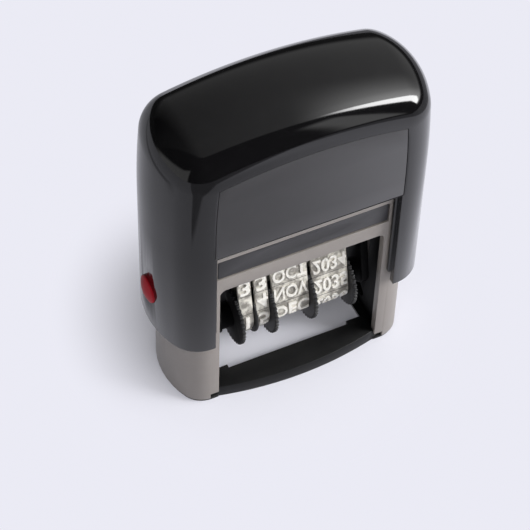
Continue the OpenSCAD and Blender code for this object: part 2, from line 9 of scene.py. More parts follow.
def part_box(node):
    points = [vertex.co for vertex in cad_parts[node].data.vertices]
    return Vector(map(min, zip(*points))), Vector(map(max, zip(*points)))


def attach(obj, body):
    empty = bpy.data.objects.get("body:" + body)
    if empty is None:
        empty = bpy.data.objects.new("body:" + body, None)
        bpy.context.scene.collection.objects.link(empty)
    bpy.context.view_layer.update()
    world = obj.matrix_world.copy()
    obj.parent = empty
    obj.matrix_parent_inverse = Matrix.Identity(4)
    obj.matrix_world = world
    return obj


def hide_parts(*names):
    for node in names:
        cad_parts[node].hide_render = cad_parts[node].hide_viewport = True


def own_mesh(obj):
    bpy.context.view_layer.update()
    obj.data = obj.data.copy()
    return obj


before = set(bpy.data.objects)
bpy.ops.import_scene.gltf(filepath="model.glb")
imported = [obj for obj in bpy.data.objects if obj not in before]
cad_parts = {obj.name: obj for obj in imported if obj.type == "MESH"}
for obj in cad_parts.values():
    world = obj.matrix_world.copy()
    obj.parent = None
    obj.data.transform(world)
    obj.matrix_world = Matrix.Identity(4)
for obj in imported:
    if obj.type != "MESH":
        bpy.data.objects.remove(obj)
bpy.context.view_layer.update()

MM = 0.001
SAME_PLACE = 1e-6
UP = Vector((0, 0, 1))
ACROSS = Vector((1, 0, 0))
TO_FRONT, TO_BACK = ACROSS.cross(UP), UP.cross(ACROSS)


def mm(x, y, z):
    """A place or a way given in millimetres."""
    return Vector((x, y, z)) * MM


# Sizes in millimetres, as the part's source has them.
CAP_LEN, CAP_DEPTH, CAP_WALL = 64.4, 27.8, 1.5
CAP_TOP, CAP_SKIRT, CAP_ARCH_R = 85.7, 22.6, 113.5
CAP_EDGE_R, CAP_CROWN_R, CAP_FACE_CORNER_R = 8.0, 22.0, 0.6
CUTOUT_LEN = 44.0
PLATE_RECESS, PLATE_MARGIN, PLATE_GAP = 0.35, 0.7, 0.12
BUTTON_D, BUTTON_Z, BUTTON_OUT, BUTTON_TRAVEL = 6.6, 32.9, 1.0, 1.0
FLANGE_STEP, FLANGE_T, LOCK_PIN_D, RUN_GAP = 0.7, 0.5, 3.0, 0.05
SPRING_LOW, COIL_D, WIRE_D, COIL_TURNS, STROKE = 52.2, 8.8, 1.1, 7, 20.0
AXLE_Y, AXLE_Z, HUB_BAND_R = -4.2, 19.9, 3.85
PLATEN_TOP, PLATEN_HALF, PLATEN_EDGE_R = 41.15, 3.2, 1.2
BAND_GAP, BAND_T = 0.1, 0.9
DAY_BAND_W, MONTH_BAND_W = 3.15, 8.82
BAND_X = {"day_tens": -13.44, "day_units": -9.47, "month": -5.26, "year": 4.62}

EDGE_IN = CAP_CROWN_R - math.sqrt((CAP_CROWN_R - CAP_EDGE_R) ** 2 - (CAP_DEPTH / 2 - CAP_EDGE_R) ** 2)
CAP_CORNER_R = EDGE_IN + CAP_FACE_CORNER_R
ARCH_Z = CAP_TOP - CAP_ARCH_R

# Sizes in millimetres of forms that are finer here than in the source. The ends of the cap lean in
# a little towards the top, on a wide arc. Its cut-outs reach a little higher, with a thin lip behind
# each upright edge. The label plate is a little taller, and the heads of the buttons are domed.
END_Z, END_R = 58.0, 190.0
CUTOUT_TOP = 52.7
LIP_REACH, LIP_WIDTH, LIP_T, LIP_LOW, LIP_CORNER_R = 0.8, 1.9, 0.7, 25.4, 0.8
PLATE_RISE, PLATE_DROP, PLATE_ARCH = 0.45, 0.4, 3.0
BUTTON_DOME = 0.85
RELIEF, SUNK, LETTER_MARGIN = 0.33, 0.1, 0.5
DAY_LETTER_H, MONTH_LETTER_H, YEAR_LETTER_H = 4.0, 3.6, 3.8
NOTCH_W, NOTCH_RISE, NOTCH_MARGIN = 0.14, 0.015, 0.1

# Steps in which round forms are made.
EDGE_STEPS, CROWN_STEPS, END_STEPS, CORNER_STEPS, ARCH_STEPS = 12, 14, 6, 18, 28
TURN_STEPS, DOME_STEPS, LIP_STEPS = 64, 8, 6
WIRE_SIDES, COIL_STEPS = 12, 32
BAND_STEPS, BAND_STEP_DEGREES = 8, 8


# Camera, at the photograph's viewing angle. Angles are in degrees and lengths in millimetres.

VIEW_TURN, VIEW_RISE, VIEW_ROLL = -27.25, 50.39, 2.22
VIEW_DISTANCE, VIEW_LEFT, VIEW_DOWN, VIEW_MIDDLE_Z = 477.45, 3.27, 4.07, 31.43
FOCAL_PIXELS, PICTURE_PIXELS, SENSOR_WIDTH = 2134.02, 530, 36
CLIP_NEAR, CLIP_FAR = 0.01, 20


def set_camera():
    turn, rise, roll = (math.radians(v) for v in (VIEW_TURN, VIEW_RISE, VIEW_ROLL))
    back = Vector((math.sin(turn) * math.cos(rise), -math.cos(turn) * math.cos(rise), math.sin(rise)))
    level = Vector((math.cos(turn), math.sin(turn), 0))
    above = back.cross(level)
    right = level * math.cos(roll) + above * math.sin(roll)
    up = above * math.cos(roll) - level * math.sin(roll)
    place = mm(0, 0, VIEW_MIDDLE_Z)
    place += (back * VIEW_DISTANCE - right * VIEW_LEFT - up * VIEW_DOWN) * MM
    data = bpy.data.cameras.new("camera")
    data.sensor_width = SENSOR_WIDTH
    data.lens = FOCAL_PIXELS / PICTURE_PIXELS * SENSOR_WIDTH
    data.clip_start, data.clip_end = CLIP_NEAR, CLIP_FAR
    camera = bpy.data.objects.new("camera", data)
    bpy.context.scene.collection.objects.link(camera)
    camera.matrix_world = Matrix.Translation(place) @ Matrix((right, up, back)).transposed().to_4x4()
    bpy.context.scene.camera = camera


# Shader nodes. A new node goes into the tree that its first socket belongs to.

WHOLE = (0, 1)


def add(tree, kind, **values):
    """A new node, with inputs and settings given by name."""
    node = tree.nodes.new(kind)
    for key, value in values.items():
        if key in node.inputs:
            node.inputs[key].default_value = value
        else:
            setattr(node, key, value)
    return node


def combine(kind, first, *others):
    """A calculation with sockets and plain numbers."""
    tree = first.id_data
    node = add(tree, "ShaderNodeMath", operation=kind)
    for value, socket in zip((first, *others), node.inputs):
        if isinstance(value, bpy.types.NodeSocket):
            tree.links.new(value, socket)
        else:
            socket.default_value = value
    return node.outputs[0]


def joined(kind, first, *others):
    """Any number of sockets, joined one after the other by one kind of calculation."""
    for other in others:
        first = combine(kind, first, other)
    return first


def spread(value, span, levels, kind="SMOOTHSTEP"):
    """Goes from the first level to the second while a value goes over a span."""
    node = add(value.id_data, "ShaderNodeMapRange", interpolation_type=kind)
    for key, number in zip(("From Min", "From Max", "To Min", "To Max"), (*span, *levels)):
        node.inputs[key].default_value = number
    value.id_data.links.new(value, node.inputs["Value"])
    return node.outputs["Result"]


def colour_ramp(value, span, first, last):
    """Goes from the first colour to the last while a value goes over a span."""
    node = add(value.id_data, "ShaderNodeValToRGB")
    for element, position, colour in zip(node.color_ramp.elements, span, (first, last)):
        element.position = position
        element.color = (*colour, 1)
    value.id_data.links.new(value, node.inputs["Fac"])
    return node.outputs["Color"]


def beyond(where, way):
    """How far a place or direction lies on the far side of a plane."""
    node = add(where.id_data, "ShaderNodeVectorMath", operation="DOT_PRODUCT")
    node.inputs[1].default_value = way
    where.id_data.links.new(where, node.inputs[0])
    return node.outputs["Value"]


def noise(where, **values):
    """A noise texture, as a number from 0 to 1."""
    node = add(where.id_data, "ShaderNodeTexNoise", **values)
    where.id_data.links.new(where, node.inputs["Vector"])
    return node.outputs["Fac"]


def lift_surface(shader, height, strength, distance):
    """Fine relief in the surface of a material."""
    tree = height.id_data
    node = add(tree, "ShaderNodeBump", Strength=strength, Distance=distance)
    tree.links.new(height, node.inputs["Height"])
    tree.links.new(node.outputs["Normal"], shader.inputs["Normal"])


def mixed(share, first, second):
    """Two shaders mixed, with a given share of the second."""
    tree = share.id_data
    node = tree.nodes.new("ShaderNodeMixShader")
    for source, socket in zip((share, first, second), node.inputs):
        tree.links.new(source, socket)
    return node.outputs[0]


# Shared surface and materials.

BLACK, WHITE = (0, 0, 0), (1, 1, 1)
GRAIN_SCALE, WAVE_SCALE, MARK_SCALE = 2600.0, 90.0, 260.0
MARK_SPAN, MARK_MIDDLE = (0.46, 0.74), 0.5
MOULDED_BUMP, RUBBER_BUMP, FELT_BUMP, STEEL_BUMP = 0.0005, 0.0002, 0.0004, 0.0001
STEEL_LINES, STEEL_ROUGHNESS = (60, 5200, 5200), (0.22, 0.42)

MOULDED_INPUTS = (
    ("Vector", "NodeSocketVector"), ("Grain Height", "NodeSocketFloat"), ("Wave Height", "NodeSocketFloat"),
    ("Roughness", "NodeSocketFloat"), ("Roughness Spread", "NodeSocketFloat"),
    ("Colour", "NodeSocketColor"), ("Worn Colour", "NodeSocketColor"), ("Wear", "NodeSocketFloat"))
MOULDED_OUTPUTS = (
    ("Colour", "NodeSocketColor"), ("Roughness", "NodeSocketFloat"), ("Height", "NodeSocketFloat"))


def moulded_group():
    """Fine moulded grain, a slow waviness and faint handling marks."""
    group = bpy.data.node_groups.new("moulded_surface", "ShaderNodeTree")
    for label, kind in MOULDED_INPUTS:
        group.interface.new_socket(label, in_out="INPUT", socket_type=kind)
    for label, kind in MOULDED_OUTPUTS:
        group.interface.new_socket(label, in_out="OUTPUT", socket_type=kind)
    given = group.nodes.new("NodeGroupInput").outputs
    made = group.nodes.new("NodeGroupOutput").inputs
    link = group.links.new
    grain = noise(given["Vector"], Scale=GRAIN_SCALE, Detail=3.0, Roughness=0.6)
    wave = noise(given["Vector"], Scale=WAVE_SCALE, Detail=1.0)
    marks = noise(given["Vector"], Scale=MARK_SCALE, Detail=6.0, Roughness=0.7)
    high = combine("MULTIPLY", grain, given["Grain Height"])
    link(combine("MULTIPLY_ADD", wave, given["Wave Height"], high), made["Height"])
    worn = combine("MULTIPLY", colour_ramp(marks, MARK_SPAN, BLACK, WHITE), given["Wear"])
    tint = add(group, "ShaderNodeMix", data_type="RGBA")
    link(worn, tint.inputs["Factor"])
    link(given["Colour"], tint.inputs["A"])
    link(given["Worn Colour"], tint.inputs["B"])
    link(tint.outputs["Result"], made["Colour"])
    centred = combine("SUBTRACT", marks, MARK_MIDDLE)
    rough = combine("MULTIPLY_ADD", centred, given["Roughness Spread"], given["Roughness"])
    link(rough, made["Roughness"])
    return group


MOULDED = moulded_group()


def new_material(name):
    """A material with its tree, its shader and the place on the object."""
    material = bpy.data.materials.new(name)
    material.use_nodes = True
    tree = material.node_tree
    where = tree.nodes.new("ShaderNodeTexCoord")
    return material, tree, tree.nodes["Principled BSDF"], where.outputs["Object"]


def moulded_plastic(name, colour, worn, roughness, varied, grain, wear, bump, wave=0.15, specular=0.5):
    """Injection-moulded plastic, from gloss to matt."""
    material, tree, shader, where = new_material(name)
    surface = add(tree, "ShaderNodeGroup", node_tree=MOULDED)
    for key, value in (("Grain Height", grain), ("Wave Height", wave), ("Roughness", roughness),
                       ("Roughness Spread", varied), ("Wear", wear),
                       ("Colour", (*colour, 1)), ("Worn Colour", (*worn, 1))):
        surface.inputs[key].default_value = value
    tree.links.new(where, surface.inputs["Vector"])
    tree.links.new(surface.outputs["Colour"], shader.inputs["Base Color"])
    tree.links.new(surface.outputs["Roughness"], shader.inputs["Roughness"])
    lift_surface(shader, surface.outputs["Height"], bump, MOULDED_BUMP)
    shader.inputs["Specular IOR Level"].default_value = specular
    return material


def rubber_material(name, darker_tone, lighter_tone, span):
    """Ivory rubber, from a darker to a lighter tone in random patches. On the band face and on the notch
    strips the darker tone is painted shade.
    """
    material, tree, shader, where = new_material(name)
    stain = noise(where, Scale=420.0, Detail=5.0, Roughness=0.62)
    tree.links.new(colour_ramp(stain, span, darker_tone, lighter_tone), shader.inputs["Base Color"])
    grain = noise(where, Scale=5200.0, Detail=2.0)
    lift_surface(shader, grain, strength=0.25, distance=RUBBER_BUMP)
    shader.inputs["Roughness"].default_value = 0.55
    shader.inputs["Subsurface Weight"].default_value = 0.08
    shader.inputs["Subsurface Radius"].default_value = (0.0006, 0.0005, 0.0004)
    return material


def felt_material():
    """Felt soaked with ink: tangled short fibres."""
    material, tree, shader, where = new_material("inked_felt")
    fibre = noise(where, Scale=1900.0, Detail=6.0, Roughness=0.75, Distortion=2.2)
    colour = colour_ramp(fibre, WHOLE, (0.004, 0.004, 0.010), (0.035, 0.034, 0.055))
    tree.links.new(colour, shader.inputs["Base Color"])
    lift_surface(shader, fibre, strength=0.8, distance=FELT_BUMP)
    shader.inputs["Roughness"].default_value = 0.85
    shader.inputs["Sheen Weight"].default_value = 0.25
    return material


def steel_material():
    """Drawn steel, with fine lines along X."""
    material, tree, shader, where = new_material("drawn_steel")
    drawn = add(tree, "ShaderNodeMapping", Scale=STEEL_LINES)
    tree.links.new(where, drawn.inputs["Vector"])
    lines = noise(drawn.outputs["Vector"], Scale=1.0, Detail=3.0)
    tree.links.new(spread(lines, WHOLE, STEEL_ROUGHNESS, "LINEAR"), shader.inputs["Roughness"])
    lift_surface(shader, lines, strength=0.08, distance=STEEL_BUMP)
    shader.inputs["Base Color"].default_value = (0.58, 0.58, 0.60, 1)
    shader.inputs["Metallic"].default_value = 1.0
    return material


GLOSS_BLACK = moulded_plastic(
    "gloss_black", colour=(0.0035, 0.0033, 0.0038), worn=(0.0060, 0.0058, 0.0064), roughness=0.07,
    varied=0.03, grain=0.05, wave=0.5, wear=0.5, bump=0.008, specular=0.55)
LABEL_BLACK = moulded_plastic(
    "label_black", colour=(0.034, 0.033, 0.035), worn=(0.042, 0.041, 0.043), roughness=0.34,
    varied=0.06, grain=0.5, wave=0.1, wear=0.4, bump=0.02)
SATIN_BLACK = moulded_plastic(
    "satin_black", colour=(0.012, 0.012, 0.013), worn=(0.024, 0.024, 0.025), roughness=0.38,
    varied=0.10, grain=0.6, wear=0.6, bump=0.04)
TRAY_BLACK = moulded_plastic(
    "tray_black", colour=(0.032, 0.031, 0.034), worn=(0.042, 0.041, 0.044), roughness=0.42,
    varied=0.08, grain=0.6, wear=0.5, bump=0.04)
INNER_BLACK = moulded_plastic(
    "inner_black", colour=(0.0018, 0.0018, 0.0020), worn=(0.0036, 0.0036, 0.0038), roughness=0.6,
    varied=0.10, grain=0.6, wear=0.5, bump=0.04, specular=0.1)
RING_BLACK = moulded_plastic(
    "ring_black", colour=(0.0035, 0.0035, 0.0038), worn=(0.008, 0.008, 0.008), roughness=0.45,
    varied=0.10, grain=0.6, wear=0.6, bump=0.04, specular=0.35)
MATT_BLACK = moulded_plastic(
    "matt_black", colour=(0.009, 0.009, 0.010), worn=(0.030, 0.030, 0.031), roughness=0.55,
    varied=0.12, grain=0.8, wear=0.6, bump=0.06)
WARM_GREY = moulded_plastic(
    "warm_grey", colour=(0.240, 0.217, 0.200), worn=(0.265, 0.242, 0.225), roughness=0.42,
    varied=0.08, grain=0.5, wear=0.6, bump=0.03)
BUTTON_RED = moulded_plastic(
    "button_red", colour=(0.32, 0.006, 0.014), worn=(0.36, 0.012, 0.021), roughness=0.40,
    varied=0.06, grain=0.4, wear=0.5, bump=0.02, specular=0.15)
# Lit and shaded copies of one rubber. The band face is darker than the raised characters: painted shade of
# the recess round them, greyed further in random patches. The raised characters are the lighter copy,
# painted light, and the notch strips are a dark copy, painted shade.
IVORY_RUBBER_PAINTED_SHADE = rubber_material(
    "ivory_rubber_painted_shade", darker_tone=(0.24, 0.225, 0.20), lighter_tone=(0.64, 0.615, 0.55), span=(0.46, 0.62))
RAISED_RUBBER_PAINTED_LIGHT = rubber_material(
    "raised_rubber_painted_light", darker_tone=(0.56, 0.54, 0.49), lighter_tone=(0.74, 0.72, 0.67), span=(0.30, 0.50))
NOTCH_PAINTED_SHADE = rubber_material(
    "notch_shade", darker_tone=(0.03, 0.03, 0.03), lighter_tone=(0.12, 0.115, 0.105), span=(0.30, 0.70))
INKED_FELT = felt_material()
DRAWN_STEEL = steel_material()


# Making pieces.

FLAT_DEGREES = 0.3


def finish_piece(name, bm, material, body, node, smooth=35):
    """A bmesh becomes a piece that rides on a body and stands for a node."""
    mesh = bpy.data.meshes.new(name)
    bm.to_mesh(mesh)
    bm.free()
    mesh.materials.append(material)
    mesh.shade_smooth()
    mesh.set_sharp_from_angle(angle=math.radians(smooth))
    piece = bpy.data.objects.new(name, mesh)
    bpy.context.scene.collection.objects.link(piece)
    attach(piece, body)
    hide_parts(node)
    return piece


def solid_of(node):
    """A merged copy of a node's solid, with its flat faces whole again."""
    bm = bmesh.new()
    bm.from_mesh(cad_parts[node].data)
    bmesh.ops.remove_doubles(bm, verts=bm.verts, dist=SAME_PLACE)
    bmesh.ops.dissolve_limit(bm, angle_limit=math.radians(FLAT_DEGREES), verts=bm.verts, edges=bm.edges)
    return bm


def round_edges(bm, edges, width, segments):
    """Rounds edges by a width in millimetres."""
    bmesh.ops.bevel(bm, geom=edges, offset=width * MM, offset_type="OFFSET", affect="EDGES",
                    segments=segments, profile=0.5, material=-1, clamp_overlap=True)


def soften(bm, width, angle=40, segments=2):
    """Small rounds on the edges that are sharper than an angle."""
    edges = [e for e in bm.edges if len(e.link_faces) == 2 and e.calc_face_angle(0) > math.radians(angle)]
    round_edges(bm, edges, width, segments)
    return bm


def from_solid(name, node, material, body, width, segments=2):
    """A node's solid with softened edges, as a piece."""
    bm = soften(solid_of(node), width, segments=segments)
    return finish_piece(name, bm, material, body, node)


def verts_of(geom):
    return [g for g in geom if isinstance(g, bmesh.types.BMVert)]


def edges_of(geom):
    return [g for g in geom if isinstance(g, bmesh.types.BMEdge)]


def turn_on(bm, geom, centre, axis, degrees, steps):
    """Sweeps verts and edges round an axis and gives back the last ones."""
    done = bmesh.ops.spin(bm, geom=geom, cent=centre, axis=axis, angle=math.radians(degrees),
                          steps=steps, use_merge=False, use_duplicate=False)
    return done["geom_last"]


def run_on(bm, edges, step):
    """Extrudes edges along a straight way and gives back the new ones."""
    done = bmesh.ops.extrude_edge_only(bm, edges=edges)["geom"]
    verts = verts_of(done)
    bmesh.ops.translate(bm, verts=verts, vec=step)
    return [e for e in edges_of(done) if all(v in verts for v in e.verts)]


def add_mesh(bm, other, material_index):
    """Adds a second mesh to a first, in one of the first one's materials."""
    mesh = bpy.data.meshes.new("joined")
    for face in other.faces:
        face.material_index = material_index
    other.to_mesh(mesh)
    other.free()
    bm.from_mesh(mesh)
    bpy.data.meshes.remove(mesh)


def cut_away(bm, cutter):
    """The first shape less the second."""
    things = []
    for shape in (bm, cutter):
        mesh = bpy.data.meshes.new("cut")
        shape.to_mesh(mesh)
        shape.free()
        things.append(bpy.data.objects.new("cut", mesh))
        bpy.context.scene.collection.objects.link(things[-1])
    step = things[0].modifiers.new("cut", "BOOLEAN")
    step.operation, step.solver, step.object = "DIFFERENCE", "EXACT", things[1]
    rest = bmesh.new()
    rest.from_object(things[0], bpy.context.evaluated_depsgraph_get())
    for thing in things:
        mesh = thing.data
        bpy.data.objects.remove(thing)
        bpy.data.meshes.remove(mesh)
    return rest


# Cap.

FACING_FRONT = -0.99


def cap_section(bm):
    """The rounded end of the plan, from the front face round to the back face, at the skirt."""
    half, edge_y = CAP_DEPTH / 2, CAP_DEPTH / 2 - CAP_EDGE_R
    edge_x, crown_x = CAP_LEN / 2 - EDGE_IN, CAP_LEN / 2 - CAP_CROWN_R
    crown = math.degrees(math.asin(edge_y / (CAP_CROWN_R - CAP_EDGE_R)))
    made = [bm.verts.new(mm(edge_x, -half, CAP_SKIRT))]
    for x, y, degrees, steps in ((edge_x, -edge_y, 90 - crown, EDGE_STEPS),
                                 (crown_x, 0, 2 * crown, CROWN_STEPS),
                                 (edge_x, edge_y, 90 - crown, EDGE_STEPS)):
        made = verts_of(turn_on(bm, made, mm(x, y, 0), UP, degrees, steps))
    return list(bm.edges)


def outer_crossing(a, a_r, b, b_r):
    """The upper right place where two circles in X and Z cross."""
    way = b - a
    along = (a_r ** 2 - b_r ** 2 + way.length_squared) / (2 * way.length)
    out = math.sqrt(a_r ** 2 - along ** 2)
    way.normalize()
    return a + way * along + Vector((-way.y, way.x)) * out


def rise_of(way):
    """The angle of a way in X and Z over level."""
    return math.degrees(math.atan2(way.y, way.x))


def cap_skin():
    """The end section led up one end, round the corners and over the arched top."""
    bm = bmesh.new()
    edges = cap_section(bm)
    end, arch = Vector((CAP_LEN / 2 - END_R, END_Z)), Vector((0, ARCH_Z))
    corner = outer_crossing(end, END_R - CAP_CORNER_R, arch, CAP_ARCH_R - CAP_CORNER_R)
    lean, rise = rise_of(corner - end), rise_of(corner - arch)
    for step in (CUTOUT_TOP - CAP_SKIRT, END_Z - CUTOUT_TOP):
        edges = run_on(bm, edges, mm(0, 0, step))
    for x, z, degrees, steps in ((end.x, end.y, lean, END_STEPS),
                                 (corner.x, corner.y, rise - lean, CORNER_STEPS),
                                 (0, ARCH_Z, 180 - 2 * rise, ARCH_STEPS),
                                 (-corner.x, corner.y, rise - lean, CORNER_STEPS),
                                 (-end.x, end.y, lean, END_STEPS)):
        verts = list(dict.fromkeys(v for e in edges for v in e.verts))
        edges = edges_of(turn_on(bm, verts + edges, mm(x, 0, z), TO_FRONT, degrees, steps))
    for step in (CUTOUT_TOP - END_Z, CAP_SKIRT - CUTOUT_TOP):
        edges = run_on(bm, edges, mm(0, 0, step))
    bmesh.ops.remove_doubles(bm, verts=bm.verts, dist=SAME_PLACE)
    return bm


def close_cap_face(bm, face):
    """The flat front or back over the cut-out, with the strips beside it. Gives back the upper face."""
    y = face * CAP_DEPTH / 2 * MM
    rim = [v for v in bm.verts if abs(v.co.y - y) < SAME_PLACE]
    above = [v for v in rim if v.co.z > CUTOUT_TOP * MM - SAME_PLACE]
    inner = []
    for side in (-1, 1):
        low = min((v for v in rim if v.co.x * side > 0), key=lambda v: v.co.z)
        high = min((v for v in above if v.co.x * side > 0), key=lambda v: v.co.z)
        strip = [bm.verts.new((side * CUTOUT_LEN / 2 * MM, y, z * MM)) for z in (CAP_SKIRT, CUTOUT_TOP)]
        bmesh.ops.contextual_create(bm, geom=[low, high] + strip)
        inner.append(strip[1])
    bm.edges.new(inner)
    around = set(above + inner)
    loop = [e for e in bm.edges if all(v in around for v in e.verts)]
    return bmesh.ops.edgeloop_fill(bm, edges=loop)["faces"][0]


def sink(bm, faces):
    """Leads faces back by the depth of the plate's recess."""
    made = bmesh.ops.extrude_face_region(bm, geom=faces)["geom"]
    bmesh.ops.translate(bm, verts=verts_of(made), vec=mm(0, PLATE_RECESS, 0))


def inset(bm, faces, width):
    """Draws the rim of faces in and gives back the new faces along it."""
    done = bmesh.ops.inset_individual(bm, faces=faces, thickness=width * MM, use_even_offset=True)
    return done["faces"]


def cap_and_plate():
    """The shell of the cap, and the label plate made from the floor of its recess."""
    bm = cap_skin()
    front = close_cap_face(bm, -1)
    close_cap_face(bm, 1)
    bmesh.ops.recalc_face_normals(bm, faces=bm.faces)
    inset(bm, [front], PLATE_MARGIN - PLATE_GAP)
    bmesh.ops.remove_doubles(bm, verts=front.verts, dist=PLATE_MARGIN * MM / 2)
    front = max((f for f in bm.faces if f.normal.y < FACING_FRONT), key=lambda f: f.calc_area())
    top = max(v.co.z for v in front.verts)
    arched = [v for v in front.verts if v.co.z > top - PLATE_ARCH * MM]
    bmesh.ops.translate(bm, verts=arched, vec=mm(0, 0, PLATE_RISE))
    foot = [v for v in front.verts if v.co.z < (CUTOUT_TOP + 2 * PLATE_MARGIN) * MM]
    bmesh.ops.translate(bm, verts=foot, vec=mm(0, 0, -PLATE_DROP))
    bm.faces.index_update()
    plate = bm.copy()
    others = [f for f in plate.faces if f.index != front.index]
    bmesh.ops.delete(plate, geom=others, context="FACES")
    rim = inset(plate, list(plate.faces), PLATE_GAP)
    bmesh.ops.delete(plate, geom=rim, context="FACES")
    sink(plate, list(plate.faces))
    bmesh.ops.recalc_face_normals(plate, faces=plate.faces)
    sink(bm, [front])
    bmesh.ops.delete(bm, geom=[front], context="FACES_ONLY")
    bmesh.ops.recalc_face_normals(bm, faces=bm.faces)
    bmesh.ops.solidify(bm, geom=list(bm.faces), thickness=CAP_WALL * MM)
    shell = cut_away(bm, button_holes())
    for side in (-1, 1):
        for face in (-1, 1):
            add_mesh(shell, guide_lip(side, face), 0)
    return shell, plate


def guide_lip(side, face):
    """A thin lip behind an upright edge of the cut-out, with a round lower corner."""
    bm = bmesh.new()
    x = CUTOUT_LEN / 2 - LIP_REACH + LIP_WIDTH / 2
    y = CAP_DEPTH / 2 - CAP_WALL + RUN_GAP - LIP_T / 2
    z = (CUTOUT_TOP + LIP_LOW) / 2
    bmesh.ops.create_cube(bm, size=1)
    bmesh.ops.scale(bm, verts=bm.verts, vec=mm(LIP_WIDTH, LIP_T, CUTOUT_TOP - LIP_LOW))
    bmesh.ops.translate(bm, verts=bm.verts, vec=mm(side * x, face * y, z))
    corner = [v for v in bm.verts if abs(v.co.x) < x * MM and v.co.z < z * MM]
    edges = [e for e in bm.edges if all(v in corner for v in e.verts)]
    round_edges(bm, edges, LIP_CORNER_R, LIP_STEPS)
    return bm


def button_holes():
    """One round bar through both ends, to cut the holes for the lock buttons."""
    bm = bmesh.new()
    radius = (BUTTON_D / 2 + RUN_GAP) * MM
    bmesh.ops.create_cone(bm, cap_ends=True, segments=TURN_STEPS, radius1=radius, radius2=radius,
                          depth=2 * CAP_LEN * MM)
    bmesh.ops.rotate(bm, verts=bm.verts, matrix=Matrix.Rotation(math.radians(90), 3, "Y"))
    bmesh.ops.translate(bm, verts=bm.verts, vec=mm(0, 0, BUTTON_Z))
    return bm


# Lock buttons and spring.

def lock_button(side):
    """A button turned about its own axis: pin, flange, shank and a domed head."""
    bm = bmesh.new()
    shank = CAP_LEN / 2 - CAP_WALL - RUN_GAP
    flange, head = shank - FLANGE_T, CAP_LEN / 2 + BUTTON_OUT
    pin_end = flange - BUTTON_TRAVEL
    radius, pin_r = BUTTON_D / 2, LOCK_PIN_D / 2
    flange_r = radius + FLANGE_STEP
    dome_r = (radius ** 2 + BUTTON_DOME ** 2) / (2 * BUTTON_DOME)
    way = ((pin_end, 0), (pin_end, pin_r), (flange, pin_r), (flange, flange_r),
           (shank, flange_r), (shank, radius), (head - BUTTON_DOME, radius))
    verts = [bm.verts.new(mm(x, 0, BUTTON_Z + r)) for x, r in way]
    for pair in zip(verts, verts[1:]):
        bm.edges.new(pair)
    dome = math.degrees(math.asin(radius / dome_r))
    turn_on(bm, [verts[-1]], mm(head - dome_r, 0, BUTTON_Z), TO_BACK, dome, DOME_STEPS)
    turn_on(bm, bm.verts[:] + bm.edges[:], mm(0, 0, BUTTON_Z), ACROSS, 360, TURN_STEPS)
    bmesh.ops.remove_doubles(bm, verts=bm.verts, dist=SAME_PLACE)
    if side < 0:
        bmesh.ops.scale(bm, verts=bm.verts, vec=(-1, 1, 1))
    bmesh.ops.recalc_face_normals(bm, faces=bm.faces)
    return soften(bm, width=0.2, angle=30, segments=3)


def coil():
    """A round of wire led up a helix."""
    low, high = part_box("return_spring")
    bm = bmesh.new()
    bmesh.ops.create_circle(bm, cap_ends=False, radius=WIRE_D / 2 * MM, segments=WIRE_SIDES)
    bmesh.ops.rotate(bm, verts=bm.verts, matrix=Matrix.Rotation(math.radians(90), 3, "X"))
    bmesh.ops.translate(bm, verts=bm.verts, vec=(COIL_D / 2 * MM, 0, low[2] + WIRE_D / 2 * MM))
    first = list(bm.edges)
    steps = COIL_STEPS * COIL_TURNS
    climb = Vector((0, 0, high[2] - low[2] - WIRE_D * MM)) / steps
    wound = bmesh.ops.spin(bm, geom=bm.verts[:] + bm.edges[:], cent=(0, 0, 0), axis=UP, dvec=climb,
                           angle=math.radians(360 * COIL_TURNS), steps=steps)
    for loop in (first, edges_of(wound["geom_last"])):
        bmesh.ops.edgeloop_fill(bm, edges=loop)
    bmesh.ops.recalc_face_normals(bm, faces=bm.faces)
    return bm


# Date bands: a strip led round the hub and the platen, with raised characters.

FRONT_ROUND = Vector((0, PLATEN_EDGE_R - PLATEN_HALF, PLATEN_TOP - PLATEN_EDGE_R))
BACK_ROUND = Vector((0, PLATEN_HALF - PLATEN_EDGE_R, PLATEN_TOP - PLATEN_EDGE_R))
HUB_ROUND = Vector((0, AXLE_Y, AXLE_Z))
ROUND_R = PLATEN_EDGE_R + BAND_GAP
TOP_HALF = -FRONT_ROUND.y
TOP_OUT = 90


def facing(degrees):
    """The way out from the band, 0 towards the back, 90 up and 180 towards the front."""
    return Vector((0, math.cos(math.radians(degrees)), math.sin(math.radians(degrees))))


def run_facing(start, start_r, end, end_r):
    """The way that a straight run faces between two rounds, with its length."""
    way = end - start
    lean = math.asin((end_r - start_r) / way.length)
    out = math.degrees(math.atan2(way.z, way.y) - lean) - 90
    return out % 360, way.length * math.cos(lean)


FRONT_OUT, FRONT_RUN = run_facing(FRONT_ROUND, ROUND_R, HUB_ROUND, HUB_BAND_R)
BACK_OUT, BACK_RUN = run_facing(HUB_ROUND, HUB_BAND_R, BACK_ROUND, ROUND_R)

# Legs of the loop from the middle of the printing face, towards the front and down. A straight run
# has the way it faces and its length, a round has its middle, its radius and the ways it faces.
Run = namedtuple("Run", "out length")
Round = namedtuple("Round", "middle radius start end")
LEGS = (Run(TOP_OUT, TOP_HALF), Round(FRONT_ROUND, ROUND_R, TOP_OUT, FRONT_OUT),
        Run(FRONT_OUT, FRONT_RUN), Round(HUB_ROUND, HUB_BAND_R, FRONT_OUT, BACK_OUT),
        Run(BACK_OUT, BACK_RUN), Round(BACK_ROUND, ROUND_R, BACK_OUT, TOP_OUT + 360),
        Run(TOP_OUT + 360, TOP_HALF))


def leg_length(leg):
    """The length of a leg along the band's outer face."""
    if isinstance(leg, Run):
        return leg.length
    return math.radians(leg.end - leg.start) * (leg.radius + BAND_T)


BAND_LOOP = sum(leg_length(leg) for leg in LEGS)


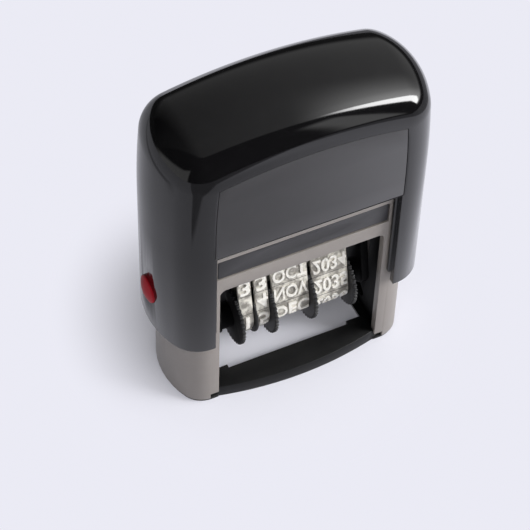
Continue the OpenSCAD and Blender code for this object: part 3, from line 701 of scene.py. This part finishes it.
def on_band(way, height):
    """The place in Y and Z at a distance along the band's face, at a height over it."""
    way %= BAND_LOOP
    here = Vector((0, 0, PLATEN_TOP + BAND_GAP))
    for leg in LEGS:
        length = leg_length(leg)
        if isinstance(leg, Run):
            along = facing(leg.out + 90)
            if way <= length:
                return here + along * way + facing(leg.out) * (BAND_T + height)
            here = here + along * length
        else:
            if way <= length:
                turned = leg.start + (leg.end - leg.start) * way / length
                return leg.middle + facing(turned) * (leg.radius + BAND_T + height)
            here = leg.middle + facing(leg.end) * leg.radius
        way -= length


def band_strip(x, width):
    """The bare band: one edge led round the loop and given its thickness."""
    bm = bmesh.new()
    start = on_band(0, -BAND_T)
    ends = [bm.verts.new(mm(x + w, start.y, start.z)) for w in (0, width)]
    edges = [bm.edges.new(ends)]
    for leg in LEGS:
        if isinstance(leg, Run):
            edges = run_on(bm, edges, facing(leg.out + 90) * leg.length * MM)
        else:
            turn = leg.end - leg.start
            steps = max(BAND_STEPS, round(turn / BAND_STEP_DEGREES))
            geom = list(edges[0].verts) + edges
            edges = edges_of(turn_on(bm, geom, leg.middle * MM, ACROSS, turn, steps))
    bmesh.ops.remove_doubles(bm, verts=bm.verts, dist=SAME_PLACE)
    inside = mm(0, AXLE_Y / 2, (AXLE_Z + PLATEN_TOP) / 2)
    for face in bm.faces:
        if face.normal.dot(face.calc_center_median() - inside) < 0:
            face.normal_flip()
    bmesh.ops.solidify(bm, geom=list(bm.faces), thickness=-BAND_T * MM)
    bmesh.ops.recalc_face_normals(bm, faces=bm.faces)
    return bm


LETTER_HALF_T, LETTER_SWELL, LETTER_STEPS, LETTER_STRETCH = 0.5, 0.018, 3, 1.25
BEND_CUTS, BEND_STEP = 4, 0.5


def flat_text(words, height, width):
    """Words as a flat mesh about the origin, at a given height and at most a given width."""
    data = bpy.data.curves.new("letters", "FONT")
    data.body = words
    data.align_x, data.align_y = "CENTER", "CENTER"
    data.extrude = LETTER_HALF_T
    data.offset = LETTER_SWELL
    data.resolution_u = LETTER_STEPS
    thing = bpy.data.objects.new("letters", data)
    bpy.context.scene.collection.objects.link(thing)
    graph = bpy.context.evaluated_depsgraph_get()
    mesh = bpy.data.meshes.new_from_object(thing.evaluated_get(graph))
    bpy.data.objects.remove(thing)
    bpy.data.curves.remove(data)
    bm = bmesh.new()
    bm.from_mesh(mesh)
    bpy.data.meshes.remove(mesh)
    xs, ys = [v.co.x for v in bm.verts], [v.co.y for v in bm.verts]
    tall = height / (max(ys) - min(ys))
    wide = min(width / (max(xs) - min(xs)), LETTER_STRETCH * tall)
    middle = Vector(((max(xs) + min(xs)) / 2, (max(ys) + min(ys)) / 2, 0))
    bmesh.ops.translate(bm, verts=bm.verts, vec=-middle)
    bmesh.ops.scale(bm, verts=bm.verts, vec=(wide, tall, 1))
    return bm


def lay_on_band(bm, x, way, low, high):
    """Bends a flat mesh round the band, mirrored as on any stamp: its Y goes along the loop."""
    for cut in range(-BEND_CUTS, BEND_CUTS + 1):
        bmesh.ops.bisect_plane(bm, geom=bm.verts[:] + bm.edges[:] + bm.faces[:],
                               plane_co=(0, cut * BEND_STEP, 0), plane_no=TO_BACK)
    for vert in bm.verts:
        place = on_band(way + vert.co.y, high if vert.co.z > 0 else low)
        vert.co = mm(x + vert.co.x, place.y, place.z)
    bmesh.ops.recalc_face_normals(bm, faces=bm.faces)


def date_band(name, width, rows, height):
    """One band with a row of characters for each entry, and between rows a thin dark strip that is painted
    shade of the notch there.
    """
    bm = soften(band_strip(BAND_X[name], width), width=0.1)
    middle = BAND_X[name] + width / 2
    pitch = BAND_LOOP / len(rows)
    for i, words in enumerate(rows):
        if words:
            letters = flat_text(words, height, width - LETTER_MARGIN)
            lay_on_band(letters, middle, i * pitch, -SUNK, RELIEF)
            add_mesh(bm, letters, 1)
        # A thin dark strip on the band face between rows: painted shade of the notch.
        notch = bmesh.new()
        bmesh.ops.create_cube(notch, size=1)
        bmesh.ops.scale(notch, verts=notch.verts, vec=(width - NOTCH_MARGIN, NOTCH_W, 1))
        lay_on_band(notch, middle, (i + 0.5) * pitch, -SUNK, NOTCH_RISE)
        add_mesh(bm, notch, 2)
    piece = finish_piece(name + "_rubber", bm, IVORY_RUBBER_PAINTED_SHADE, "carriage", name + "_band")
    piece.data.materials.append(RAISED_RUBBER_PAINTED_LIGHT)
    piece.data.materials.append(NOTCH_PAINTED_SHADE)


# The pieces. Widths are those of the small rounds on their edges, in millimetres.

DAY_ROWS, FIRST_YEAR, YEAR_ROWS = 13, 2031, 12
DAY_TENS = [str(i % 4) if i % 5 < 4 else "" for i in range(DAY_ROWS)]
DAY_UNITS = [str(i) for i in range(10)] + ["1", "2", "3"]
MONTHS = "JUL AUG SEP OCT NOV DEC".split() + [""] + "JAN FEB MAR APR MAY JUN".split()
YEARS = [str(FIRST_YEAR + i) for i in range(YEAR_ROWS)]
PINS = ("wheel_axle", "trunnion_pin_left", "trunnion_pin_right", "follower_pin_left", "follower_pin_right")

set_camera()
shell, plate = cap_and_plate()
soften(shell, width=0.12, angle=60)
soften(plate, width=0.08, angle=60)
finish_piece("cap_shell_smooth", shell, GLOSS_BLACK, "cap", "cap_shell")
finish_piece("label_plate", plate, LABEL_BLACK, "cap", "front_label_plate")
from_solid("yoke", "drive_yoke", INNER_BLACK, "cap", width=0.25)
finish_piece("lock_left", lock_button(-1), BUTTON_RED, "lock_left", "lock_button_left")
finish_piece("lock_right", lock_button(1), BUTTON_RED, "lock_right", "lock_button_right")
from_solid("frame_body", "base_frame", WARM_GREY, "base", width=0.2)
from_solid("foot_ring", "base_ring", RING_BLACK, "base", width=0.2)
from_solid("pad_tray", "ink_pad_tray", TRAY_BLACK, "pad", width=0.3)
for side in ("left", "right"):
    from_solid("cam_cheek_" + side, "cam_plate_" + side, INNER_BLACK, "base", width=0.15)
from_solid("felt_pad", "ink_pad", INKED_FELT, "pad", width=0.5, segments=4)
from_solid("carriage_body", "carriage", INNER_BLACK, "carriage", width=0.15)
from_solid("platen_bar", "platen", SATIN_BLACK, "carriage", width=0.1)
for wheel in BAND_X:
    from_solid(wheel + "_thumb_wheel", wheel + "_wheel", MATT_BLACK, wheel, width=0.06)
date_band("day_tens", DAY_BAND_W, DAY_TENS, DAY_LETTER_H)
date_band("day_units", DAY_BAND_W, DAY_UNITS, DAY_LETTER_H)
date_band("month", MONTH_BAND_W, MONTHS, MONTH_LETTER_H)
date_band("year", MONTH_BAND_W, YEARS, YEAR_LETTER_H)
from_solid("spacer", "spacer_disc", MATT_BLACK, "carriage", width=0.1)
for pin in PINS:
    from_solid(pin + "_turned", pin, DRAWN_STEEL, "carriage", width=0.15)
spring = finish_piece("spring_wire", coil(), DRAWN_STEEL, "base", "return_spring", smooth=60)
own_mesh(spring)


# Floor, light and background. A span is where a light or a shade comes in or goes out: in metres on
# the floor, and as a part of a direction in the studio.

PALE = (0.83, 0.83, 0.91, 1)
RISING, FALLING = (0, 1), (1, 0)

FLOOR_COLOUR, FLOOR_ROUGHNESS, FLOOR_SPECULAR = (0.80, 0.80, 0.87, 1), 0.6, 0.2
FLOOR_MIDDLE, FLOOR_RADIUS, FLOOR_SIDES = Vector((0, 0, -0.0001)), 1.2, 96
FLOOR_SEEN, FLOOR_MIRRORED = (0.04, 1.0), 0.8
SHADE_MIDDLE, SHADE_SPAN = Vector((0, 0.010, 0)), (0.0215, 0.0495)

# In shiny surfaces the floor is brighter to the right, with a dark card in front to the left and a
# dark gap before the reflector on the left.
BRIGHT_SPAN, BRIGHT_LEVELS = (0.0, 0.08), (0.60, 1.4)
FAR_SPAN, FAR_LEVEL = (0.19, 0.205), 0.2
CARD_LEFT, CARD_LEFT_SPAN = Vector((0.622, -0.783, 0)), (0.0, 0.004)
CARD_RIGHT, CARD_RIGHT_SPAN = Vector((-0.92, -0.39, 0)), (0.072, 0.082)
GAP_WAY, GAP_START_SPAN, GAP_END_SPAN = Vector((1, 0.33, 0)), (-0.140, -0.128), (-0.110, -0.098)
GAP_BACK_SPAN = (0.0, 0.03)
CARD_LEVEL, GAP_LEVEL = 0.1, 0.4


def mirrored_floor(where):
    """How bright the floor is in shiny surfaces."""
    x, out = beyond(where, ACROSS), beyond(where, GAP_WAY)
    card = joined("MULTIPLY", spread(beyond(where, CARD_LEFT), CARD_LEFT_SPAN, RISING),
                  spread(beyond(where, CARD_RIGHT), CARD_RIGHT_SPAN, RISING))
    gap = joined("MULTIPLY", spread(out, GAP_START_SPAN, RISING), spread(out, GAP_END_SPAN, FALLING),
                 spread(beyond(where, TO_BACK), GAP_BACK_SPAN, RISING))
    return joined("MULTIPLY", spread(x, BRIGHT_SPAN, BRIGHT_LEVELS), spread(x, FAR_SPAN, (1, FAR_LEVEL)),
                  spread(card, WHOLE, (1, CARD_LEVEL), "LINEAR"),
                  spread(gap, WHOLE, (1, GAP_LEVEL), "LINEAR"))


def floor_material():
    """Pale, and clear from below. A share of what the camera and shiny surfaces see is the floor's own
    colour, and the rest is the light that falls there. Near the object the camera's share is small,
    so that the shadow shows."""
    material, tree, shader, where = new_material("pale_floor")
    link = tree.links.new
    shader.inputs["Base Color"].default_value = FLOOR_COLOUR
    shader.inputs["Roughness"].default_value = FLOOR_ROUGHNESS
    shader.inputs["Specular IOR Level"].default_value = FLOOR_SPECULAR
    path = tree.nodes.new("ShaderNodeLightPath").outputs
    apart = add(tree, "ShaderNodeVectorMath", operation="DISTANCE")
    apart.inputs[1].default_value = SHADE_MIDDLE
    link(where, apart.inputs[0])
    seen = spread(apart.outputs["Value"], SHADE_SPAN, FLOOR_SEEN)
    share = combine("MULTIPLY", path["Is Camera Ray"], seen)
    share = combine("MULTIPLY_ADD", path["Is Transmission Ray"], seen, share)
    share = combine("MULTIPLY_ADD", path["Is Glossy Ray"], FLOOR_MIRRORED, share)
    bright = add(tree, "ShaderNodeMix", data_type="FLOAT", A=1.0)
    link(path["Is Glossy Ray"], bright.inputs["Factor"])
    link(mirrored_floor(where), bright.inputs["B"])
    own = add(tree, "ShaderNodeEmission", Color=PALE)
    link(bright.outputs["Result"], own.inputs["Strength"])
    above = mixed(share, shader.outputs[0], own.outputs[0])
    below = tree.nodes.new("ShaderNodeNewGeometry").outputs["Backfacing"]
    clear = tree.nodes.new("ShaderNodeBsdfTransparent").outputs[0]
    link(mixed(below, above, clear), tree.nodes["Material Output"].inputs["Surface"])
    return material


def make_floor():
    bm = bmesh.new()
    bmesh.ops.create_circle(bm, cap_ends=True, radius=FLOOR_RADIUS, segments=FLOOR_SIDES)
    bmesh.ops.translate(bm, verts=bm.verts, vec=FLOOR_MIDDLE)
    mesh = bpy.data.meshes.new("floor")
    bm.to_mesh(mesh)
    bm.free()
    mesh.materials.append(floor_material())
    floor = bpy.data.objects.new("floor", mesh)
    bpy.context.scene.collection.objects.link(floor)


def bearing(degrees):
    """A level way, 0 to the right and 90 to the back."""
    return Vector((math.cos(math.radians(degrees)), math.sin(math.radians(degrees)), 0))


# The studio: a wide soft box to the right that ends in a sharp edge towards the front, with a
# bright strip along that edge, a low reflector to the left and an upright board to the right in front.
BOX_EDGE, BOX_EDGE_SPAN, BOX_FOOT_SPAN = Vector((0.503, 0.808, 0.302)), (-0.045, -0.005), (0.08, 0.22)
GLOW_DEPTH_SPAN, GLOW_SPAN, GLOW_LEVEL = (0.10, 0.75), (0.25, 0.65), 4.3
WALL_SPAN, WALL_LEVELS = (-0.5, 0.8), (0.06, 0.60)
WALL_DEPTH_SPAN, WALL_LOSS = (0.0, 1.0), (0.0, -0.10)
STRIP_LOW, STRIP_LOW_SPAN = Vector((0.784, 0.324, 0.530)), (0.522, 0.548)
STRIP_HIGH, STRIP_HIGH_SPAN = Vector((0.146, 0.879, 0.453)), (-0.03, 0.0)
STRIP_LEFT_SPAN, STRIP_RIGHT_SPAN, STRIP_FOOT_SPAN = (0.34, 0.52), (0.86, 0.92), (0.14, 0.22)
BOARD_LEFT, BOARD_LEFT_SPAN = bearing(23), (-0.04, 0.03)
BOARD_RIGHT, BOARD_RIGHT_SPAN = bearing(31), (-0.015, 0.015)
BOARD_FOOT_SPAN, BOARD_TOP_SPAN = (-0.03, 0.03), (0.55, 0.69)
REFLECTOR_BACK, REFLECTOR_BACK_SPAN = Vector((-0.643, -0.766, 0)), (0.0, 0.35)
REFLECTOR_FRONT, REFLECTOR_FRONT_SPAN = Vector((-0.530, 0.848, 0)), (0.0, 0.08)
REFLECTOR_TOP, REFLECTOR_TOP_SPAN = Vector((0, 0.5, 1)), (0.20, 0.32)
STRIP_LEVEL, BOARD_LEVEL, REFLECTOR_LEVEL, DIM_LEVEL = 15, 1.15, 0.6, 0.03


def make_world():
    """The studio round the object. The camera itself sees it plain and pale."""
    world = bpy.data.worlds.new("studio")
    bpy.context.scene.world = world
    world.use_nodes = True
    tree = world.node_tree
    link = tree.links.new
    where = tree.nodes.new("ShaderNodeTexCoord").outputs["Generated"]
    parts = tree.nodes.new("ShaderNodeSeparateXYZ")
    link(where, parts.inputs[0])
    x, y, z = parts.outputs
    edge = beyond(where, BOX_EDGE)
    box = joined("MULTIPLY", spread(edge, BOX_EDGE_SPAN, RISING), spread(z, BOX_FOOT_SPAN, RISING))
    glow = joined("MULTIPLY", spread(edge, GLOW_DEPTH_SPAN, FALLING), spread(x, GLOW_SPAN, (0, GLOW_LEVEL)))
    wall = joined("ADD", spread(x, WALL_SPAN, WALL_LEVELS, "LINEAR"),
                  spread(y, WALL_DEPTH_SPAN, WALL_LOSS, "LINEAR"))
    strip = joined("MULTIPLY", spread(beyond(where, STRIP_LOW), STRIP_LOW_SPAN, (0, STRIP_LEVEL)),
                   spread(beyond(where, STRIP_HIGH), STRIP_HIGH_SPAN, FALLING),
                   spread(x, STRIP_LEFT_SPAN, RISING), spread(x, STRIP_RIGHT_SPAN, FALLING),
                   spread(z, STRIP_FOOT_SPAN, RISING))
    board = joined("MULTIPLY", spread(beyond(where, BOARD_RIGHT), BOARD_RIGHT_SPAN, (BOARD_LEVEL, 0)),
                   spread(beyond(where, BOARD_LEFT), BOARD_LEFT_SPAN, RISING),
                   spread(z, BOARD_FOOT_SPAN, RISING), spread(z, BOARD_TOP_SPAN, FALLING))
    reflector = joined("MULTIPLY",
                       spread(beyond(where, REFLECTOR_BACK), REFLECTOR_BACK_SPAN, (0, REFLECTOR_LEVEL)),
                       spread(beyond(where, REFLECTOR_FRONT), REFLECTOR_FRONT_SPAN, RISING),
                       spread(beyond(where, REFLECTOR_TOP), REFLECTOR_TOP_SPAN, FALLING))
    lit = joined("ADD", combine("MULTIPLY", box, combine("ADD", glow, wall)), strip, board, reflector)
    seen = add(tree, "ShaderNodeMix", data_type="RGBA", B=PALE)
    link(tree.nodes.new("ShaderNodeLightPath").outputs["Is Camera Ray"], seen.inputs["Factor"])
    link(combine("ADD", lit, DIM_LEVEL), seen.inputs["A"])
    link(seen.outputs["Result"], tree.nodes["Background"].inputs["Color"])


FILL_PLACE, FILL_AIM = Vector((-0.45, -0.75, 0.85)), Vector((0, 0, 0.03))
FILL_SIZE, FILL_POWER = 0.9, 5.0


def make_fill():
    """A soft lamp in front to the left, which shiny surfaces don't show."""
    data = bpy.data.lights.new("fill_left", "AREA")
    data.shape = "RECTANGLE"
    data.size, data.size_y = FILL_SIZE, FILL_SIZE
    data.energy = FILL_POWER
    lamp = bpy.data.objects.new("fill_left", data)
    bpy.context.scene.collection.objects.link(lamp)
    back = (FILL_PLACE - FILL_AIM).normalized()
    side = (UP - back * back.dot(UP)).normalized()
    turn = Matrix((side, back.cross(side), back)).transposed()
    lamp.matrix_world = Matrix.Translation(FILL_PLACE) @ turn.to_4x4()
    lamp.visible_glossy = False


make_floor()
make_world()
make_fill()
bpy.context.scene.view_settings.view_transform = "Standard"
